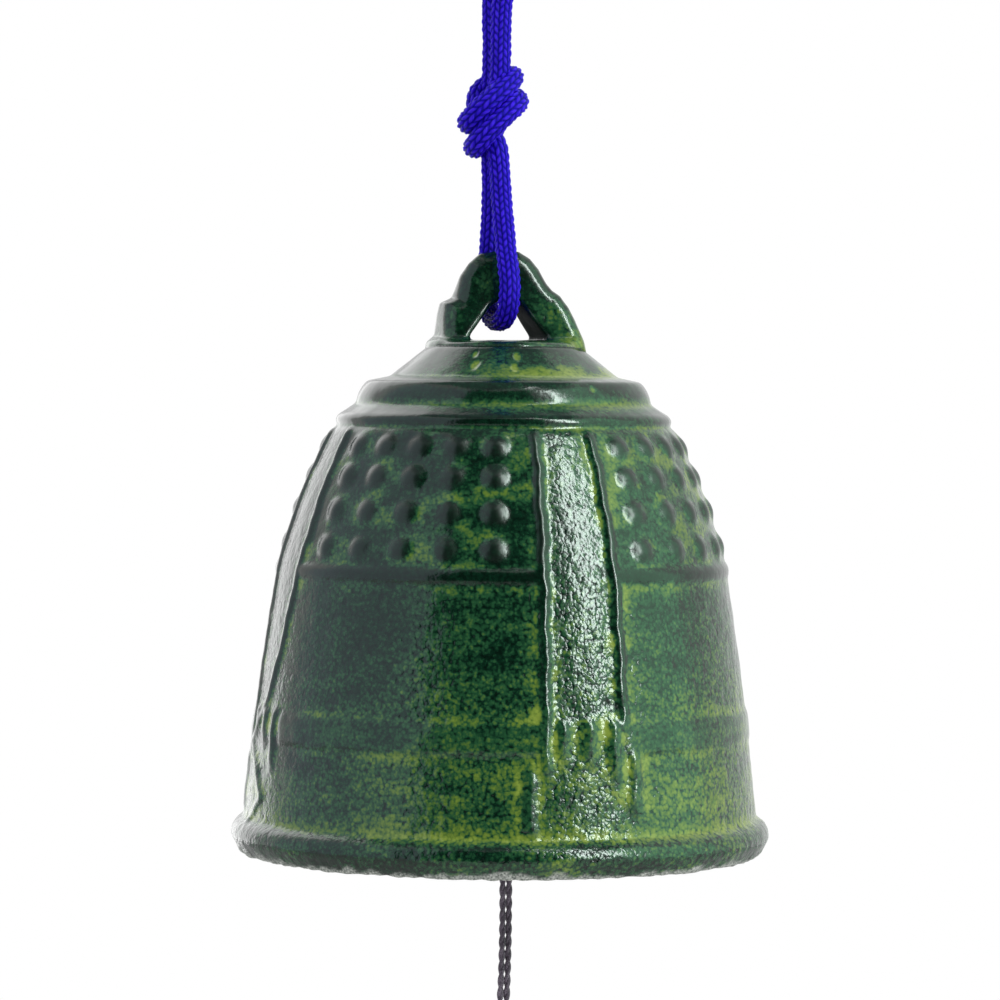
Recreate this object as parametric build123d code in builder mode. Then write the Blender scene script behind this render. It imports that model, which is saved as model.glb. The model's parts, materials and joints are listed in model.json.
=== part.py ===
"""A furin wind bell: an iron temple bell on a knotted cord, with clapper, wind string and paper strip.

Millimetres, +Z up. The origin is where a hook bears in the cord's hanging loop.
X runs across the crown lug and along the clapper staple's bar, and Y runs through the lug's eye.
Heights on the bell are measured up from its rim plane.
"""

import os
from math import hypot, pi, radians, sqrt, tan

from build123d import *

os.makedirs("parts", exist_ok=True)

# Bell body: radii are shares of the rim's radius, and the main heights are shares of the crown's height
rim_radius = 35.0
crown_height = 66.3
rim_bevel_width = 1.0
rim_bevel_height = 1.8
lip_height = 4.9
lip_lean = 0.5
lip_cove_height = 0.9
skirt_radius_share = 0.9514
skirt_bow = 0.2
waist_radius_share = 0.837
waist_height_share = 0.555
panel_bow = 0.8
brow_radius_share = 0.643
brow_height_share = 0.825

# Shoulder: a groove, two steps and the crown's flare
groove_depth = 0.7
groove_height = 0.6
lower_step_foot_radius_share = 0.6315
lower_step_radius_share = 0.606
lower_step_height_share = 0.8597
lower_ledge_rise = 1.2
upper_step_foot_radius_share = 0.554
upper_step_radius_share = 0.5115
upper_step_height_share = 0.9216
upper_ledge_rise = 0.5
crown_foot_radius_share = 0.417
crown_radius_share = 0.297
crown_flare_bow = -0.5

# Bell walls
wall = 3.0
lip_thickness = 3.8
shoulder_inset = 1.2
ceiling_drop = 0.3

# Relief on the bell: four bands, with a panel of bosses between each two
band_count = 4
band_half_angle = 9.3
rib_width = 1.0
rib_height = 0.5
relief_root = 0.8
boss_radius = 1.75
boss_sink = 0.75
boss_columns = 5
boss_pitch_angle = 12.4
boss_row_shares = (0.18, 0.436, 0.68, 0.894)
hoop_width = 1.7
belt_base_height = 15.4
belt_width = 3.7
belt_relief = 0.35
bar_half_angle = 13.0
bar_width = 1.7
bar_relief = 0.4
petal_angles = (-5.2, 0.0, 5.2)
petal_radius = 1.0
petal_sink = 0.5
petal_length = 2.6

# Crown lug and its eye: widths are shares of the lug's
lug_setback = 0.7
lug_height = 11.7
lug_root = 1.0
lug_base_thickness = 8.0
lug_top_thickness = 2.4
lobe_width_share = 0.8145
lobe_height = 4.7
head_width_share = 0.6495
head_height = 6.2
head_bow = 0.7
lug_top_width_share = 0.309
lug_top_drop = 0.5
eye_edge_round = 1.1
eye_width_share = 0.598
eye_height = 5.05
eye_corner_radius = 0.9

# Hanging cord: its size, its knots, and its routes from the knot round the lug and up to the hook
cord_radius = 1.46
cord_clearance = 0.3
cord_arc_share = 0.45
knot_width = 7.0
knot_height = 12.2
knot_top_drop = 23.7
knot_wrap_radius = 2.7
knot_wrap_tilt = 33.0
knot_wrap_rise_shares = (0.36, 0.64)
end_knot_rise = 1.6
end_knot_height = 10.6
end_knot_wrap_tilt = -30.0
lug_loop_route = [
    (0, -1.53, -33.0),
    (0, -1.55, -37.0),
    (0, -1.8, -41.2),
    (0, -2.5, -44.6),
    (0, -3.3, -47.9),
    (0, -5.0, -52.5),
    (0, -3.3, -57.0),
    (0, 3.3, -57.0),
    (0, 5.0, -52.5),
    (0, 3.3, -47.9),
    (0, 2.5, -44.6),
    (0, 1.8, -41.2),
    (0, 1.55, -37.0),
    (0, 1.53, -33.0),
]
hanging_strand_route = [
    (0, -1.53, -24.7),
    (0, -1.56, -20.4),
    (0, -1.9, -15.6),
    (0, -3.2, -11.0),
    (0, -4.7, -6.6),
    (0, -4.4, -1.8),
    (0, -1.7, 2.6),
]
tail_route = [
    (0, -1.5, 11.2),
    (0, -1.7, 14.4),
    (0, -2.6, 17.6),
]

# Clapper staple: round steel wire cast into the crown
staple_wire_radius = 0.8
staple_width = 6.4
staple_drop = 4.2
staple_bend_radius = 1.4
staple_embed = 3.0
staple_gap = 0.02

# Wind string: a doubled thin string with its bight, knots and strip loop
string_radius = 0.43
strand_spacing = 0.9
string_clearance = 0.3
gather_knot_radius = 1.25
stop_knot_radius = 1.9
tie_knot_radius = 1.4
tie_drop = 28.0

# Clapper: a round iron disc with a rounded edge and a raised hub, hung above the rim plane
clapper_radius_share = 0.2715
clapper_thickness = 3.6
clapper_edge_round = 1.2
clapper_hub_radius = 3.6
clapper_hub_rise = 1.0
clapper_bore_radius = 1.3
clapper_base_height = 13.0
seat_gap = 0.05

# Paper strip below the bell
strip_width = 36.0
strip_length = 118.0
strip_thickness = 0.4
strip_corner_radius = 1.5
strip_hole_radius = 1.4
strip_hole_inset = 4.2
strip_loop_radius = 2.9
strip_hang_gap = 0.05

# Places that follow from the sizes above
panel_angle = 360 / band_count
band_angles = [panel_angle * index for index in range(band_count)]
waist_height = waist_height_share * crown_height
brow_height = brow_height_share * crown_height
lower_step_height = lower_step_height_share * crown_height
upper_step_height = upper_step_height_share * crown_height
skirt_radius = skirt_radius_share * rim_radius
waist_radius = waist_radius_share * rim_radius
brow_radius = brow_radius_share * rim_radius
crown_radius = crown_radius_share * rim_radius
skirt_foot = (skirt_radius, lip_height + lip_cove_height)
waist = (waist_radius, waist_height)
brow = (brow_radius, brow_height)
belt_top_height = belt_base_height + belt_width
lug_width = 2 * (crown_radius - lug_setback)
eye_width = eye_width_share * lug_width
eye_round_radius = cord_radius + cord_clearance
eye_pin_height = eye_height - eye_round_radius * hypot(1, eye_height / (eye_width / 2))
lug_pin_z = min(z for _, _, z in lug_loop_route)
rim_z = lug_pin_z - crown_height - eye_pin_height
ceiling_height = upper_step_height - ceiling_drop
staple_z = rim_z + ceiling_height - staple_drop
bight_radius = staple_wire_radius + string_clearance + string_radius
gather_z = staple_z - bight_radius - gather_knot_radius / 2
clapper_radius = clapper_radius_share * rim_radius
clapper_z = rim_z + clapper_base_height
stop_z = clapper_z - sqrt(stop_knot_radius**2 - clapper_bore_radius**2) - seat_gap
tie_z = rim_z - tie_drop
strip_loop_z = tie_z - tie_knot_radius - string_clearance - string_radius - strip_loop_radius
strip_bar_z = strip_loop_z - strip_loop_radius
strip_hole_z = strip_bar_z + string_radius + strip_hang_gap - strip_hole_radius
strip_top_z = strip_hole_z + strip_hole_inset
knot_top_z = -knot_top_drop
knot_base_z = knot_top_z - knot_height
knot_dome_z = knot_base_z + knot_width / 2


def meridian_plane(angle):
    """Plane through the bell's axis: its X is outward at the angle, its Y is height above the rim plane."""
    outward = Vector(1, 0, 0).rotate(Axis.Z, angle)
    side = Vector(0, -1, 0).rotate(Axis.Z, angle)
    return Plane(origin=(0, 0, rim_z), x_dir=outward, z_dir=side)


def bow_circle(low, high, bow):
    """Centre and radius of the profile circle through two points that bulges outward by bow."""
    rise = Vector(*high) - Vector(*low)
    outward = Vector(rise.Y, -rise.X).normalized()
    radius = (rise.length**2 / 4 + bow**2) / (2 * bow)
    centre = (Vector(*low) + Vector(*high)) / 2 + outward * (bow - radius)
    return centre, radius


def bow_middle(low, high, bow):
    """Middle point of the profile arc between two points that bulges outward by bow."""
    rise = Vector(*high) - Vector(*low)
    outward = Vector(rise.Y, -rise.X).normalized()
    middle = (Vector(*low) + Vector(*high)) / 2 + outward * bow
    return (middle.X, middle.Y)


def outside_at(height):
    """Point of the bell's outside at a height, and the outward normal there, both in the profile's plane."""
    if height < waist_height:
        centre, radius = bow_circle(skirt_foot, waist, skirt_bow)
    else:
        centre, radius = bow_circle(waist, brow, panel_bow)
    reach = sqrt(radius**2 - (height - centre.Y) ** 2)
    point = Vector(centre.X + reach, height)
    return point, (point - centre).normalized()


def outside_arc(low_height, high_height, shift):
    """Arc along the bell's outside between two heights, moved outward by shift."""
    heights = (low_height, (low_height + high_height) / 2, high_height)
    points = [outside_at(height)[0] + Vector(shift, 0) for height in heights]
    return ThreePointArc(*points)


def seat_plane(height, turn, sink):
    """Plane sunk below the bell's outside at a height and a turn round its axis, facing outward."""
    surface, normal = outside_at(height)
    seat = surface - normal * sink
    origin = Vector(seat.X, 0, rim_z + seat.Y).rotate(Axis.Z, turn)
    return Plane(origin=origin, z_dir=Vector(normal.X, 0, normal.Y).rotate(Axis.Z, turn))


def raised_strip(angle, spans, relief):
    """Profile of a strip on the bell's outside over consecutive height spans, rooted inside the wall."""
    with BuildSketch(meridian_plane(angle)) as strip:
        with BuildLine():
            for low_height, high_height in spans:
                outside_arc(low_height, high_height, relief)
                outside_arc(low_height, high_height, -relief_root)
            for height in (spans[0][0], spans[-1][1]):
                point = outside_at(height)[0]
                Line(point + Vector(relief, 0), point - Vector(relief_root, 0))
        make_face()
    return strip.sketch


def arc_radii(route):
    """Largest arc radius at each inner point of a cord's route."""
    points = [Vector(*point) for point in route]
    radii = []
    for before, corner, after in zip(points, points[1:], points[2:]):
        turn = (corner - before).get_angle(after - corner)
        run = min((corner - before).length, (after - corner).length)
        radii.append(cord_arc_share * run / tan(radians(turn / 2)))
    return radii


def mirrored(route):
    """The same route on the other side of the lug."""
    return [(x, -y, z) for x, y, z in route]


def cord_path(route):
    """Wire of straight runs and tangent arcs along a cord's route."""
    with BuildLine() as path:
        FilletPolyline(*route, radius=arc_radii(route))
    return path.wires()[0]


def lay_cord(route):
    """Sweep the cord's round section along a route."""
    path = cord_path(route)
    with BuildSketch(Plane(origin=path @ 0, z_dir=path % 0)) as section:
        Circle(cord_radius)
    sweep(section.sketch, path=path)


def report_cord(name, route, part, lines):
    """Print a cord's arc radii, and its volume against its section times its length."""
    expected = lines * cord_path(route).length * pi * cord_radius**2
    radii = ", ".join(f"{radius:.1f}" for radius in arc_radii(route))
    print(f"{name}: radii {radii}; volume {part.volume:.1f}, section times length {expected:.1f}")


def knot_core(base_z, height):
    """Revolve the core of a cord knot: a barrel with a domed lower end and a domed top."""
    half = knot_width / 2
    with BuildSketch(Plane.XZ) as core:
        with BuildLine():
            Line((0, base_z), (0, base_z + height))
            ThreePointArc(
                (0, base_z),
                (half * sqrt(1 / 2), base_z + half - half * sqrt(1 / 2)),
                (half, base_z + half),
            )
            Line((half, base_z + half), (half, base_z + height - half))
            ThreePointArc(
                (half, base_z + height - half),
                (half * sqrt(1 / 2), base_z + height - half + half * sqrt(1 / 2)),
                (0, base_z + height),
            )
        make_face()
    revolve(core.sketch, axis=Axis.Z)


def knot_wraps(base_z, height, tilt):
    """Two turns of cord laid side by side round a knot's core, slanting by tilt."""
    for share in knot_wrap_rise_shares:
        with Locations((0, 0, base_z + share * height)):
            Torus(knot_wrap_radius, cord_radius, rotation=(0, -tilt, 0))


def string_strands(top_z, bottom_z):
    """Two strands of the wind string, side by side along X."""
    with BuildSketch(Plane.XY.offset(bottom_z)) as strands:
        with GridLocations(strand_spacing, 0, 2, 1):
            Circle(string_radius)
    extrude(strands.sketch, amount=top_z - bottom_z)


# Lug: a lobed plate that thins towards its top, with a rounded three-cornered eye
with BuildPart() as lug:
    with BuildSketch(meridian_plane(0)):
        with BuildLine():
            lobe = (lobe_width_share * lug_width / 2, crown_height + lobe_height)
            head = (head_width_share * lug_width / 2, crown_height + head_height)
            crest = (lug_top_width_share * lug_width / 2, crown_height + lug_height - lug_top_drop)
            Line((0, crown_height - lug_root), (lug_width / 2, crown_height - lug_root))
            Line((lug_width / 2, crown_height - lug_root), (lug_width / 2, crown_height))
            Line((lug_width / 2, crown_height), lobe)
            Line(lobe, head)
            ThreePointArc(head, bow_middle(head, crest, head_bow), crest)
            TangentArc((0, crown_height + lug_height), crest, tangent=(1, 0))
            mirror(about=Plane.YZ)
        make_face()
    extrude(amount=lug_base_thickness / 2, both=True)
    with BuildSketch(Plane.YZ.offset(-lug_width / 2)):
        lug_foot_z = rim_z + crown_height - lug_root
        lug_top_z = rim_z + crown_height + lug_height
        with BuildLine():
            Polyline(
                (-lug_base_thickness / 2, lug_foot_z),
                (lug_base_thickness / 2, lug_foot_z),
                (lug_top_thickness / 2, lug_top_z),
                (-lug_top_thickness / 2, lug_top_z),
                close=True,
            )
        make_face()
    extrude(amount=lug_width, mode=Mode.INTERSECT)
    with BuildSketch(meridian_plane(0).offset(-lug_base_thickness / 2)):
        with BuildLine():
            Polyline(
                (-eye_width / 2, crown_height),
                (eye_width / 2, crown_height),
                (0, crown_height + eye_height),
                close=True,
            )
        eye = make_face()
        corners = eye.vertices().sort_by(Axis.Y)
        fillet(corners[-1], eye_round_radius)
        fillet(eye.vertices().sort_by(Axis.Y)[:2], eye_corner_radius)
    extrude(amount=lug_base_thickness, mode=Mode.SUBTRACT)
    lug_faces = lug.faces().sort_by(Axis.Y)
    eye_wires = [face.inner_wires()[0] for face in (lug_faces[0], lug_faces[-1])]
    fillet([edge for wire in eye_wires for edge in wire.edges()], eye_edge_round)

# Bell: the revolved casting, its lug and its relief
with BuildPart() as bell:
    with BuildSketch(meridian_plane(0)):
        with BuildLine():
            groove = (brow_radius - groove_depth, brow_height + groove_height)
            lower_foot = (lower_step_foot_radius_share * rim_radius, brow_height + 2 * groove_height)
            lower_edge = (lower_step_radius_share * rim_radius, lower_step_height)
            upper_foot = (upper_step_foot_radius_share * rim_radius, lower_step_height + lower_ledge_rise)
            upper_edge = (upper_step_radius_share * rim_radius, upper_step_height)
            crown_foot = (crown_foot_radius_share * rim_radius, upper_step_height + upper_ledge_rise)
            crown_edge = (crown_radius, crown_height)
            inner_brow = (brow_radius - wall, brow_height - shoulder_inset)
            inner_waist = (waist_radius - wall, waist_height)
            inner_foot = (skirt_radius - wall, skirt_foot[1])
            Polyline(
                (rim_radius - lip_thickness, 0),
                (rim_radius - rim_bevel_width, 0),
                (rim_radius, rim_bevel_height),
                (rim_radius - lip_lean, lip_height),
                skirt_foot,
            )
            ThreePointArc(skirt_foot, bow_middle(skirt_foot, waist, skirt_bow), waist)
            ThreePointArc(waist, bow_middle(waist, brow, panel_bow), brow)
            Polyline(brow, groove, lower_foot, lower_edge, upper_foot, upper_edge, crown_foot)
            ThreePointArc(crown_foot, bow_middle(crown_foot, crown_edge, crown_flare_bow), crown_edge)
            Polyline(crown_edge, (0, crown_height), (0, ceiling_height))
            TangentArc((0, ceiling_height), inner_brow, tangent=(1, 0))
            ThreePointArc(inner_brow, bow_middle(inner_waist, inner_brow, panel_bow), inner_waist)
            ThreePointArc(inner_waist, bow_middle(inner_foot, inner_waist, skirt_bow), inner_foot)
            Line(inner_foot, (rim_radius - lip_thickness, 0))
        make_face()
    revolve(axis=Axis.Z)
    add(lug.part)
    rib_spans = [(belt_top_height, waist_height), (waist_height, brow_height)]
    bar_spans = [(skirt_foot[1], belt_base_height)]
    belt_spans = [(belt_base_height, belt_top_height)]
    hoop_base_height = waist_height - hoop_width / 2
    hoop_spans = [(hoop_base_height, waist_height), (waist_height, hoop_base_height + hoop_width)]
    for band_angle in band_angles:
        for side in (-1, 1):
            rib = raised_strip(band_angle + side * band_half_angle, rib_spans, rib_height)
            extrude(rib, amount=rib_width / 2, both=True)
            bar = raised_strip(band_angle + side * bar_half_angle, bar_spans, bar_relief)
            extrude(bar, amount=bar_width / 2, both=True)
        panel_start = band_angle + band_half_angle
        panel_arc = panel_angle - 2 * band_half_angle
        revolve(raised_strip(panel_start, belt_spans, belt_relief), axis=Axis.Z, revolution_arc=panel_arc)
        revolve(raised_strip(panel_start, hoop_spans, rib_height), axis=Axis.Z, revolution_arc=panel_arc)
    boss_seats = []
    petal_seats = []
    for band_angle in band_angles:
        for share in boss_row_shares:
            row_height = waist_height + share * (brow_height - waist_height)
            for column in range(boss_columns):
                turn = band_angle + panel_angle / 2 + (column - (boss_columns - 1) / 2) * boss_pitch_angle
                boss_seats.append(seat_plane(row_height, turn, boss_sink))
        for drop in (0, petal_length / 2, petal_length):
            for petal_angle in petal_angles:
                turn = band_angle + petal_angle
                petal_seats.append(seat_plane(belt_top_height - drop, turn, petal_sink))
    with Locations(*boss_seats):
        Sphere(boss_radius)
    with Locations(*petal_seats):
        Sphere(petal_radius)
    with BuildSketch(Plane.XY.offset(rim_z + ceiling_height - staple_drop)):
        with GridLocations(staple_width, 0, 2, 1):
            Circle(staple_wire_radius + staple_gap)
    extrude(amount=staple_drop + staple_embed + staple_gap, mode=Mode.SUBTRACT)
bell.part.label = "bell"
export_step(bell.part, "parts/bell.step")

# Clapper staple
with BuildPart() as clapper_eye:
    with BuildLine() as staple_path:
        leg_top_z = rim_z + ceiling_height + staple_embed
        FilletPolyline(
            (-staple_width / 2, 0, leg_top_z),
            (-staple_width / 2, 0, staple_z),
            (staple_width / 2, 0, staple_z),
            (staple_width / 2, 0, leg_top_z),
            radius=staple_bend_radius,
        )
    with BuildSketch(Plane(origin=staple_path.line @ 0, z_dir=staple_path.line % 0)):
        Circle(staple_wire_radius)
    sweep(path=staple_path.line)
clapper_eye.part.label = "clapper_eye"
export_step(clapper_eye.part, "parts/clapper_eye.step")

# Cord loop through the lug: its two ends are dished to the dome of the knot above
with BuildPart() as cord_lug_loop:
    lay_cord(lug_loop_route)
    report_cord("cord_lug_loop, before its ends are dished", lug_loop_route, cord_lug_loop.part, 1)
    with Locations((0, 0, knot_dome_z)):
        Sphere(knot_width / 2 + cord_clearance, mode=Mode.SUBTRACT)
cord_lug_loop.part.label = "cord_lug_loop"
export_step(cord_lug_loop.part, "parts/cord_lug_loop.step")

# Cord knot above the bell
with BuildPart() as cord_knot:
    knot_core(knot_base_z, knot_height)
    knot_wraps(knot_base_z, knot_height, knot_wrap_tilt)
cord_knot.part.label = "cord_knot"
export_step(cord_knot.part, "parts/cord_knot.step")

# Two strands that open into the hanging loop, with the hook's place between their upper ends
with BuildPart() as cord_hanging_loop:
    lay_cord(hanging_strand_route)
    lay_cord(mirrored(hanging_strand_route))
cord_hanging_loop.part.label = "cord_hanging_loop"
export_step(cord_hanging_loop.part, "parts/cord_hanging_loop.step")
report_cord("cord_hanging_loop", hanging_strand_route, cord_hanging_loop.part, 2)

# Knot that closes the hanging loop
with BuildPart() as cord_end_knot:
    knot_core(end_knot_rise, end_knot_height)
    knot_wraps(end_knot_rise, end_knot_height, end_knot_wrap_tilt)
cord_end_knot.part.label = "cord_end_knot"
export_step(cord_end_knot.part, "parts/cord_end_knot.step")

# Two short tails above the end knot
with BuildPart() as cord_tails:
    lay_cord(tail_route)
    lay_cord(mirrored(tail_route))
cord_tails.part.label = "cord_tails"
export_step(cord_tails.part, "parts/cord_tails.step")
report_cord("cord_tails", tail_route, cord_tails.part, 2)

# String bight round the staple's bar, drawn together in a ball-shaped knot
with BuildPart() as string_bight:
    with Locations((0, 0, staple_z)):
        Torus(bight_radius, string_radius, rotation=(0, 90, 0))
    with Locations((0, 0, gather_z)):
        Sphere(gather_knot_radius)
    with Locations((0, 0, staple_z)):
        bight_inside = bight_radius - string_radius
        Cylinder(bight_inside, staple_width, rotation=(0, 90, 0), mode=Mode.SUBTRACT)
string_bight.part.label = "string_bight"
export_step(string_bight.part, "parts/string_bight.step")

# Doubled string from the gather knot through the clapper into its stop knot
with BuildPart() as clapper_string:
    string_strands(gather_z - gather_knot_radius - string_clearance, stop_z)
clapper_string.part.label = "clapper_string"
export_step(clapper_string.part, "parts/clapper_string.step")

# Clapper disc
with BuildPart() as clapper:
    with BuildSketch(Plane.XZ):
        with BuildLine():
            hub_top_z = clapper_z + clapper_thickness + clapper_hub_rise
            Polyline(
                (clapper_bore_radius, clapper_z),
                (clapper_radius, clapper_z),
                (clapper_radius, clapper_z + clapper_thickness),
                (clapper_hub_radius, clapper_z + clapper_thickness),
                (clapper_hub_radius - clapper_hub_rise, hub_top_z),
                (clapper_bore_radius, hub_top_z),
                close=True,
            )
        disc = make_face()
        fillet(disc.vertices().group_by(Axis.X)[-1], clapper_edge_round)
    revolve(axis=Axis.Z)
clapper.part.label = "clapper"
export_step(clapper.part, "parts/clapper.step")

# Stop knot that carries the clapper
with BuildPart() as clapper_stop_knot:
    with Locations((0, 0, stop_z)):
        Sphere(stop_knot_radius)
clapper_stop_knot.part.label = "clapper_stop_knot"
export_step(clapper_stop_knot.part, "parts/clapper_stop_knot.step")

# Doubled string below the clapper, into the tie knot
with BuildPart() as wind_string:
    string_strands(stop_z - stop_knot_radius - string_clearance, tie_z)
wind_string.part.label = "wind_string"
export_step(wind_string.part, "parts/wind_string.step")

# Tie knot above the strip
with BuildPart() as strip_tie_knot:
    with Locations((0, 0, tie_z)):
        Sphere(tie_knot_radius)
strip_tie_knot.part.label = "strip_tie_knot"
export_step(strip_tie_knot.part, "parts/strip_tie_knot.step")

# String loop through the strip's hole
with BuildPart() as strip_loop:
    with Locations((0, 0, strip_loop_z)):
        Torus(strip_loop_radius, string_radius, rotation=(0, 90, 0))
strip_loop.part.label = "strip_loop"
export_step(strip_loop.part, "parts/strip_loop.step")

# Paper strip
with BuildPart() as wind_strip:
    with BuildSketch(Plane.XZ.offset(-strip_thickness / 2)):
        with Locations((0, strip_top_z - strip_length / 2)):
            RectangleRounded(strip_width, strip_length, strip_corner_radius)
        with Locations((0, strip_hole_z)):
            Circle(strip_hole_radius, mode=Mode.SUBTRACT)
    extrude(amount=strip_thickness)
wind_strip.part.label = "wind_strip"
export_step(wind_strip.part, "parts/wind_strip.step")
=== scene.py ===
"""Furin wind bell: the dressed model on its frame. The object's sizes are mm, the stage's metres."""

import json
import math
from types import SimpleNamespace

import bpy
import numpy as np
from mathutils import Matrix, Vector, noise

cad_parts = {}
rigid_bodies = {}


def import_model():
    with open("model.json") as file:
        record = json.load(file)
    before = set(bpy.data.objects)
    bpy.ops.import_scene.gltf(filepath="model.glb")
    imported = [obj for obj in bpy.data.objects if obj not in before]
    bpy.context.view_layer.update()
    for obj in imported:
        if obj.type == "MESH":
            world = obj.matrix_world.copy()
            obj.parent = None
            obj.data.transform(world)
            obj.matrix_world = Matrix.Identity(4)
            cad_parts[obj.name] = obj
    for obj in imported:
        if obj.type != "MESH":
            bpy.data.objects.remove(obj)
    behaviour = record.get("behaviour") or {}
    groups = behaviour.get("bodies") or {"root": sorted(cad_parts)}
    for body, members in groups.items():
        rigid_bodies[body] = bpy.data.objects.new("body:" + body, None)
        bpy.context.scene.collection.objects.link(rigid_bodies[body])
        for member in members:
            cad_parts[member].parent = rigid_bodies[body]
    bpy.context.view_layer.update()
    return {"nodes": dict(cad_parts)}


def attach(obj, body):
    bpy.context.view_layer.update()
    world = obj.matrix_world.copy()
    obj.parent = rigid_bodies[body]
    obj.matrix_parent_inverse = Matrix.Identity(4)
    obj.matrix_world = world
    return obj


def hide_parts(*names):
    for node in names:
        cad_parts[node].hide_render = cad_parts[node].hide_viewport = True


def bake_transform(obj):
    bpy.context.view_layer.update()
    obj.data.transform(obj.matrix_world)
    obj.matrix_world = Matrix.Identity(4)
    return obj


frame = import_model()
scene = bpy.context.scene
MM = 0.001

# Camera at the photograph's viewing angle
CAMERA_TURN = math.radians(-19.3)
CAMERA_PITCH = math.radians(1.65)
CAMERA_ROLL = math.radians(0.5)
CAMERA_DISTANCE = 0.55
CAMERA_Z = -0.0646
CAMERA_ASIDE = -0.00036
IMAGE_PIXELS = 1000
FOCAL_PIXELS = 4200
SENSOR = 36.0
RIGHT = np.array([math.cos(CAMERA_TURN), math.sin(CAMERA_TURN), 0.0])
AWAY = np.array([-math.sin(CAMERA_TURN), math.cos(CAMERA_TURN), 0.0])
UP = np.array([0.0, 0.0, 1.0])

camera_data = bpy.data.cameras.new("photo_camera")
camera_data.sensor_width = SENSOR
camera_data.lens = FOCAL_PIXELS / IMAGE_PIXELS * SENSOR
camera = bpy.data.objects.new("photo_camera", camera_data)
scene.collection.objects.link(camera)
camera.location = -CAMERA_DISTANCE * AWAY + CAMERA_ASIDE * RIGHT + CAMERA_Z * UP
camera.rotation_euler = (
    Matrix.Rotation(CAMERA_TURN, 3, "Z")
    @ Matrix.Rotation(math.pi / 2 - CAMERA_PITCH, 3, "X")
    @ Matrix.Rotation(CAMERA_ROLL, 3, "Z")
).to_euler()
scene.camera = camera

# Mesh helpers
CURVE_STEPS = 24
FIRST_SIDE = (0.31, 0.95, 0.05)


def make_object(name, verts_mm, faces, uv=None):
    """A smooth mesh object from points in millimetres and arrays of faces."""
    mesh = bpy.data.meshes.new(name)
    verts = np.asarray(verts_mm, np.float32) * MM
    mesh.from_pydata(verts, [], [face for group in faces for face in np.asarray(group).tolist()])
    mesh.shade_smooth()
    if uv is not None:
        layer = mesh.uv_layers.new(name="lay")
        layer.data.foreach_set("uv", np.asarray(uv, np.float32).ravel())
    thing = bpy.data.objects.new(name, mesh)
    scene.collection.objects.link(thing)
    return thing


def set_values(thing, **values):
    """Named numbers at the mesh's points, and 0 at points left over, for its material to read."""
    for name, numbers in values.items():
        numbers = np.asarray(numbers, np.float32).ravel()
        attribute = thing.data.attributes.new(name, "FLOAT", "POINT")
        attribute.data.foreach_set("value", np.pad(numbers, (0, len(thing.data.vertices) - len(numbers))))


def nurbs_line(route):
    """Points along the NURBS spline that has a route as its control points."""
    curve = bpy.data.curves.new("route", "CURVE")
    curve.dimensions = "3D"
    spline = curve.splines.new("NURBS")
    spline.points.add(len(route) - 1)
    for point, place in zip(spline.points, route):
        point.co = (*(float(c) * MM for c in place), 1)
    spline.order_u = 3
    spline.use_endpoint_u = True
    curve.resolution_u = CURVE_STEPS
    thing = bpy.data.objects.new("route", curve)
    scene.collection.objects.link(thing)
    mesh = bpy.data.meshes.new_from_object(thing)
    line = np.empty(len(mesh.vertices) * 3)
    mesh.vertices.foreach_get("co", line)
    bpy.data.batch_remove((thing, curve, mesh))
    return line.reshape(-1, 3) / MM


def distances(line):
    return np.concatenate([[0], np.cumsum(np.linalg.norm(np.diff(line, axis=0), axis=1))])


def spaced(line, step):
    """The line's points again, evenly spaced by about step, with their distances along it."""
    far = distances(line)
    at = np.linspace(0, far[-1], int(round(far[-1] / step)) + 1)
    return np.stack([np.interp(at, far, line[:, axis]) for axis in range(3)], 1), at


def frames(points, closed=False):
    """Two unit directions across the line at each point, carried along without twist."""
    if closed:
        along = np.roll(points, -1, 0) - np.roll(points, 1, 0)
    else:
        along = np.gradient(points, axis=0)
    along /= np.linalg.norm(along, axis=1)[:, None]
    side = np.cross(along[0], FIRST_SIDE)
    sides = [side / np.linalg.norm(side)]
    for tangent in along[1:]:
        side = sides[-1] - tangent * sides[-1].dot(tangent)
        sides.append(side / np.linalg.norm(side))
    sides = np.array(sides)
    if closed:
        last = sides[-1] - along[0] * sides[-1].dot(along[0])
        gap = math.atan2(np.cross(last, sides[0]).dot(along[0]), last.dot(sides[0]))
        turn = np.linspace(0, gap, len(points))[:, None]
        sides = sides * np.cos(turn) + np.cross(along, sides) * np.sin(turn)
    return sides, np.cross(along, sides)


def tube_faces(rings, around, closed=False, start=0):
    """Quads of a tube, and the fans that close its ends."""
    row = np.arange(rings if closed else rings - 1)[:, None]
    column = np.arange(around)[None, :]
    ahead, beside = (row + 1) % rings, (column + 1) % around
    quads = np.stack(
        [row * around + column, row * around + beside, ahead * around + beside, ahead * around + column], -1
    ).reshape(-1, 4)
    fans = []
    if not closed:
        ring, beside = column[0], beside[0]
        end = rings * around
        fans.append(np.stack([np.full(around, end), beside, ring], 1))
        fans.append(np.stack([np.full(around, end + 1), end - around + ring, end - around + beside], 1))
    return quads + start, [fan + start for fan in fans]


def tube_points(points, sides, ups, radius, around, closed=False):
    """Ring points of a tube, then its two end points. The radius may differ from point to point."""
    turn = np.arange(around) / around * 2 * math.pi
    ring = np.cos(turn)[None, :, None] * sides[:, None] + np.sin(turn)[None, :, None] * ups[:, None]
    radius = np.broadcast_to(radius, (len(points), around))
    grid = (points[:, None] + ring * radius[..., None]).reshape(-1, 3)
    return grid if closed else np.vstack([grid, points[0], points[-1]])


# Shader helpers
def new_material(name):
    """A material with its node tree and its Principled shader."""
    made = bpy.data.materials.new(name)
    made.use_nodes = True
    return made, made.node_tree, made.node_tree.nodes["Principled BSDF"]


def empty_tree(owner):
    """The node tree of a material or a world, emptied."""
    owner.use_nodes = True
    owner.node_tree.nodes.clear()
    return owner.node_tree


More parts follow.
